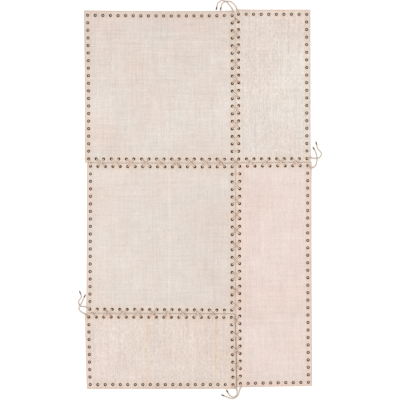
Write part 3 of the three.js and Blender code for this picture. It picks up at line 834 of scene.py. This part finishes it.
def cloth_piece(panel):
    """One hemmed cloth as a closed sheet with a round hole under each eyelet."""
    name = panel["name"]
    rng = random.Random(name)
    waves = [
        (rng.uniform(*WAVE_HEIGHT), rng.choice((-1, 1)) * rng.uniform(*WAVE_TURN),
         rng.choice((-1, 1)) * rng.uniform(*WAVE_TURN), rng.uniform(0, FULL_TURN))
        for _ in range(WAVES)
    ]

    def lines(low, high, length):
        first, last = -panel["margin"][low], length + panel["margin"][high]
        inner = np.arange(-PITCH, length + PITCH + 1, STATION)
        inner = inner[(inner > first + STATION / 2) & (inner < last - STATION / 2)]
        return np.array([
            first, first + FOLD_STATION, first + FOLD_ROUND, *inner,
            last - FOLD_ROUND, last - FOLD_STATION, last,
        ])

    us = lines("west", "east", panel["width"])
    vs = lines("south", "north", panel["depth"])
    made = bmesh.new()
    # The cloth's colour at each point: its marks and soil, and also painted shade along edges, seams and
    # creases
    dye = made.verts.layers.float_color.new("dye")

    def marked_and_crease_shaded(x, y):
        tint = [1.0, 1.0, 1.0]
        inward, outward = MARK_FADE
        for way, middle, low, high, half, change in MARKS_AND_CREASE_SHADING[name]:
            aside, run = (x - middle, y) if way == "along" else (y - middle, x)
            amount = math.exp(-(aside / half) ** 2) * smooth(run, low - outward, low + inward)
            amount *= 1 - smooth(run, high - inward, high + outward)
            tint = [t + c * amount for t, c in zip(tint, change)]
        return tint

    # Painted shade along each edge of the cloth, with a seam's own painted shade where it is laced to the
    # next
    def edge_shade(near, y):
        edge_shading = [0.0, 0.0, 0.0]
        for side in SIDES:
            soil = SEAM_SHADE.get((name, side), EDGE_SHADE)
            if (name, side) == ("east", "west") and y < LOWER_SEAM_TOP:
                soil = LOWER_SEAM_SHADE
            reach = SEAM_REACH if soil == LOWER_SEAM_SHADE else EDGE_REACH
            amount = 1 - smooth(near[side] + panel["margin"][side], *reach)
            edge_shading = [max(w, s * amount) for w, s in zip(edge_shading, soil)]
        return edge_shading

    def vert(u, v, x, y, z):
        point = made.verts.new((x / 1000, y / 1000, z / 1000))
        near = insides(panel, u, v)
        rubbed_and_shaded = 1 - smooth(min(near[side] for side in panel["laced"]), *LACED_REACH)
        handled = 1 - smooth(min(near[side] for side in SIDES if side not in panel["laced"]), *OUTER_REACH)
        ring_u, ring_v = PITCH * round(u / PITCH), PITCH * round(v / PITCH)
        stained = 0.0
        if ring_u in (0, panel["width"]) or ring_v in (0, panel["depth"]):
            stained = 1 - smooth(math.hypot(u - ring_u, v - ring_v), *RING_REACH)
        # The painted shade of the edges and seams darkens the cloth's colour
        left = [t * (1 - w) for t, w in zip(marked_and_crease_shaded(x, y), edge_shade(near, y))]
        # The laced hems' tint is partly rubbing and partly painted shade under the laces; handling and the
        # stains round the eyelets are real
        for soil, amount in ((LACED_SOIL_AND_SHADE, rubbed_and_shaded), (OUTER_SOIL, handled), (RING_SOIL, stained)):
            left = [t * (1 - s * amount) for t, s in zip(left, soil)]
        point[dye] = (*left, 1)
        return point

    def pair_at(u, v, x=None, y=None):
        """The cloth's lower and upper vertex at a point of its plan."""
        if x is None:
            x, y = plan(panel, u, v)
        if name == "east":
            x -= WIDER * (1 - smooth(abs(y - WIDER_MIDDLE), *WIDER_ALONG)) * smooth(-u, *WIDER_PAST)
        # The cloths give way round each leg that goes down between them
        for dive in dives:
            away = math.hypot(x - dive[0], y - dive[1])
            if away < DIVE_RADIUS:
                grow = DIVE_RADIUS / max(away, 0.5)
                x, y = dive[0] + (x - dive[0]) * grow, dive[1] + (y - dive[1]) * grow
        low, high = cloth_heights(panel, u, v, waves)
        return vert(u, v, x, y, low), vert(u, v, x, y, high)

    holes = {
        (int(np.argmin(abs(us - u))), int(np.argmin(abs(vs - v)))) for u, v in rim_eyelets(panel)
    }
    points = {
        (i, j): pair_at(u, v) for i, u in enumerate(us) for j, v in enumerate(vs) if (i, j) not in holes
    }
    around = [(-1, -1), (0, -1), (1, -1), (1, 0), (1, 1), (0, 1), (-1, 1), (-1, 0)]
    cut = {(i + a, j + b) for i, j in holes for a in (-1, 0) for b in (-1, 0)}

    def sheet_face(corners):
        made.faces.new([c[1] for c in corners])
        made.faces.new([c[0] for c in reversed(corners)])

    for i in range(len(us) - 1):
        for j in range(len(vs) - 1):
            if (i, j) not in cut:
                sheet_face([points[i, j], points[i + 1, j], points[i + 1, j + 1], points[i, j + 1]])
    for i, j in holes:
        middle_x, middle_y = plan(panel, us[i], vs[j])
        ring = []
        for a, b in around:
            turn = math.atan2(b, a)
            out_x, out_y = HOLE_RADIUS * math.cos(turn), HOLE_RADIUS * math.sin(turn)
            ring.append(pair_at(us[i] + out_x, vs[j] + out_y, middle_x + out_x, middle_y + out_y))
        rim = [points[i + a, j + b] for a, b in around]
        for k in range(len(around)):
            n = (k + 1) % len(around)
            sheet_face([rim[k], rim[n], ring[n], ring[k]])
            made.faces.new([ring[k][1], ring[n][1], ring[n][0], ring[k][0]])
    last_i, last_j = len(us) - 1, len(vs) - 1
    edge = (
        [(i, 0) for i in range(last_i)] + [(last_i, j) for j in range(last_j)]
        + [(i, last_j) for i in range(last_i, 0, -1)] + [(0, j) for j in range(last_j, 0, -1)]
    )
    for here, there in zip(edge, edge[1:] + edge[:1]):
        made.faces.new([points[here][0], points[there][0], points[there][1], points[here][1]])
    for face in made.faces:
        face.smooth = True
    return finish_mesh(f"cloth_{name}", made)


def cloth_material(name):
    look = CLOTHS[name]
    material, tree, shader = new_material(f"hemp_{name}")
    streaks = {"Warp Streaks": look["warp"], "Weft Streaks": look["weft"], "Flecks": look.get("flecks", 0.0)}
    weave = add_node(tree, "ShaderNodeGroup", streaks, node_tree=weave_tree)
    # Marks, soil and painted shade, as set on the cloth's points
    dye = add_node(tree, "ShaderNodeAttribute", {}, attribute_name="dye")["Color"]
    dyed_and_shaded = add_node(tree, "ShaderNodeVectorMath", {0: dye, 1: look["colour"]}, operation="MULTIPLY")[0]
    toned = add_node(tree, "ShaderNodeVectorMath", {0: dyed_and_shaded, "Scale": weave["Tone"]}, operation="SCALE")[0]
    warmer = (1.0, 1 - look["warmth"], 1 - 1.3 * look["warmth"], 1)
    set_inputs(tree, shader, {
        "Base Color": mix_node(tree, weave["Warmth"], toned, warmer, "MULTIPLY"),
        "Roughness": 0.92, "Specular IOR Level": 0.25, "Sheen Weight": 0.08,
        "Normal": bump_node(tree, weave["Height"], distance=0.0006, strength=0.6),
    })
    return material


# Eyelets. Each is two stampings of dark antique brass: a domed rim above the hem, and a flanged barrel that
# is set into it from below. Ten flats round each are enough for its size.
brass = metal_material(
    "antique_brass", film=(0.060, 0.020, 0.008, 1), metal=(0.200, 0.066, 0.025, 1), rough=0.62, scale=260
)
EYELET = {
    "Bore Radius": 0.006, "Wall": 0.0009, "Rim Radius": 0.0131, "Dome": 0.0018, "Flange": 0.001,
    "Height": 0.0076,
}
EYELET_SIDES = 10
eyelet_tree = bpy.data.node_groups.new("set_eyelets", "GeometryNodeTree")
eyelet_tree.interface.new_socket("Points", in_out="INPUT", socket_type="NodeSocketGeometry")
socket_ids = {}
for label, value in EYELET.items():
    socket = eyelet_tree.interface.new_socket(label, in_out="INPUT", socket_type="NodeSocketFloat")
    socket_ids[label] = socket.identifier
socket = eyelet_tree.interface.new_socket("Metal", in_out="INPUT", socket_type="NodeSocketMaterial")
socket_ids["Metal"] = socket.identifier
eyelet_tree.interface.new_socket("Eyelets", in_out="OUTPUT", socket_type="NodeSocketGeometry")
tree_in, tree_out = (eyelet_tree.nodes.new(kind) for kind in ("NodeGroupInput", "NodeGroupOutput"))
bore, wall, rim, dome, flange, height = (tree_in.outputs[label] for label in EYELET)


def eyelet_math(operation, *inputs):
    return math_node(eyelet_tree, operation, *inputs)


def profile_point(radius, up):
    """A point of the wall's section. Swept round a circle, x runs outward and y runs down."""
    inputs = {"X": eyelet_math("SUBTRACT", radius, bore), "Y": eyelet_math("MULTIPLY", up, -1.0)}
    return add_node(eyelet_tree, "ShaderNodeCombineXYZ", inputs)[0]


def circle(**inputs):
    return add_node(eyelet_tree, "GeometryNodeCurvePrimitiveCircle", inputs, mode="RADIUS")["Curve"]


barrel = eyelet_math("ADD", bore, wall)
crown = eyelet_math("MULTIPLY", eyelet_math("ADD", bore, rim), 0.5)
shoulder = eyelet_math("SUBTRACT", height, dome)
lip = eyelet_math("MULTIPLY_ADD", dome, -0.5, height)
section = [
    profile_point(barrel, shoulder), profile_point(barrel, flange), profile_point(rim, 0.0),
    profile_point(bore, 0.0), profile_point(bore, lip), profile_point(crown, height),
    profile_point(rim, shoulder),
]
pick = eyelet_tree.nodes.new("GeometryNodeIndexSwitch")
pick.data_type = "VECTOR"
while len(pick.index_switch_items) < len(section):
    pick.index_switch_items.new()
corner = add_node(eyelet_tree, "GeometryNodeInputIndex", {})[0]
set_inputs(eyelet_tree, pick, {"Index": corner, **dict(enumerate(section, start=1))})
shaped = {"Geometry": circle(Resolution=len(section)), "Position": pick.outputs[0]}
profile = add_node(eyelet_tree, "GeometryNodeSetPosition", shaped)["Geometry"]
swept = {"Curve": circle(Resolution=EYELET_SIDES, Radius=bore), "Profile Curve": profile}
eyelet = add_node(eyelet_tree, "GeometryNodeCurveToMesh", swept)["Mesh"]
lean = add_node(
    eyelet_tree, "GeometryNodeInputNamedAttribute", {"Name": "lean"}, data_type="FLOAT_VECTOR"
)["Attribute"]
placed = {"Points": tree_in.outputs["Points"], "Instance": eyelet, "Rotation": lean}
instances = add_node(eyelet_tree, "GeometryNodeInstanceOnPoints", placed)["Instances"]
real = add_node(eyelet_tree, "GeometryNodeRealizeInstances", {"Geometry": instances})["Geometry"]
metalled = {"Geometry": real, "Material": tree_in.outputs["Metal"]}
finished = add_node(eyelet_tree, "GeometryNodeSetMaterial", metalled)["Geometry"]
set_inputs(eyelet_tree, tree_out, {"Eyelets": finished})


SET_DEEP = 1.0  # how far a foot stands below the hem
FOOT_ROOM = 0.5  # and at least above the floor
LEAN = 0.03


def eyelet_piece(panel):
    """All the eyelets of one cloth, set from the tree and made one plain mesh."""
    name = f"eyelets_{panel['name']}"
    rng = random.Random(name)
    places, leans = [], []
    for u, v in rim_eyelets(panel):
        foot = max(cloth_heights(panel, u, v, [])[0] - SET_DEEP, FOOT_ROOM)
        x, y = plan(panel, u, v)
        places.append((x / 1000, y / 1000, foot / 1000))
        leans.append((rng.uniform(-LEAN, LEAN), rng.uniform(-LEAN, LEAN), rng.uniform(0, FULL_TURN)))
    dots = bpy.data.meshes.new("dots")
    dots.from_pydata(places, [], [])
    attribute = dots.attributes.new("lean", "FLOAT_VECTOR", "POINT")
    attribute.data.foreach_set("vector", [a for lean_by in leans for a in lean_by])
    holder = new_object("dots", dots)
    modifier = holder.modifiers.new("set", "NODES")
    modifier.node_group = eyelet_tree
    for label, value in EYELET.items():
        modifier[socket_ids[label]] = value
    modifier[socket_ids["Metal"]] = brass
    evaluated = holder.evaluated_get(bpy.context.evaluated_depsgraph_get())
    mesh = bpy.data.meshes.new_from_object(evaluated)
    bpy.data.objects.remove(holder)
    mesh.name = name
    for face in mesh.polygons:
        face.use_smooth = True
    return new_object(name, mesh)


# The rug is put together: each cloth is laid on the floor with its own eyelets set in it. A cloth is one
# piece with its hems, so it stands for its CAD field and outer hem strips.
for panel in PANELS:
    name = panel["name"]
    hems = [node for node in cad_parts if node.startswith(f"hem_{name}_")]
    cloth = cloth_piece(panel)
    cloth.data.materials.append(cloth_material(name))
    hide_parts(f"panel_{name}", *hems)
    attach(cloth, "root")

    eyelets = eyelet_piece(panel)
    built = []
    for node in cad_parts:
        if node.startswith("eyelet_"):
            column, row = (int(part[1:]) for part in node.split("_")[1:])
            if holds(panel, column, row):
                built.append(node)
    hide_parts(*built)
    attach(eyelets, "root")


# Floor and light: a plain white studio floor, a wide soft sun a little to one side, and even sky light,
# so that only soft short shadows lie beside the hems and laces.
FLOOR_REACH = 12.0
corners = [(FLOOR_REACH * x, FLOOR_REACH * y, 0) for x, y in ((-1, -1), (1, -1), (1, 1), (-1, 1))]
floor_mesh = bpy.data.meshes.new("floor")
floor_mesh.from_pydata(corners, [], [(0, 1, 2, 3)])
floor = new_object("floor", floor_mesh)
floor_material, tree, shader = new_material("white_floor")
set_inputs(tree, shader, {
    "Base Color": (0.96, 0.92, 0.885, 1), "Roughness": 0.9, "Specular IOR Level": 0.1,
    "Emission Color": (1, 0.90, 0.83, 1), "Emission Strength": 0.15,
})
floor.data.materials.append(floor_material)

sun_light = bpy.data.lights.new("soft_sun", "SUN")
sun_light.energy = 1.45
sun_light.angle = math.radians(60)
sun = new_object("soft_sun", sun_light)
sun.rotation_euler = (math.radians(20), math.radians(-22), 0)
world = bpy.data.worlds.new("studio")
world.use_nodes = True
sky = world.node_tree.nodes["Background"]
sky.inputs["Color"].default_value = (1, 1, 1, 1)
sky.inputs["Strength"].default_value = 0.67
bpy.context.scene.world = world
bpy.context.scene.view_settings.view_transform = "Standard"
bpy.context.scene.view_settings.look = "None"
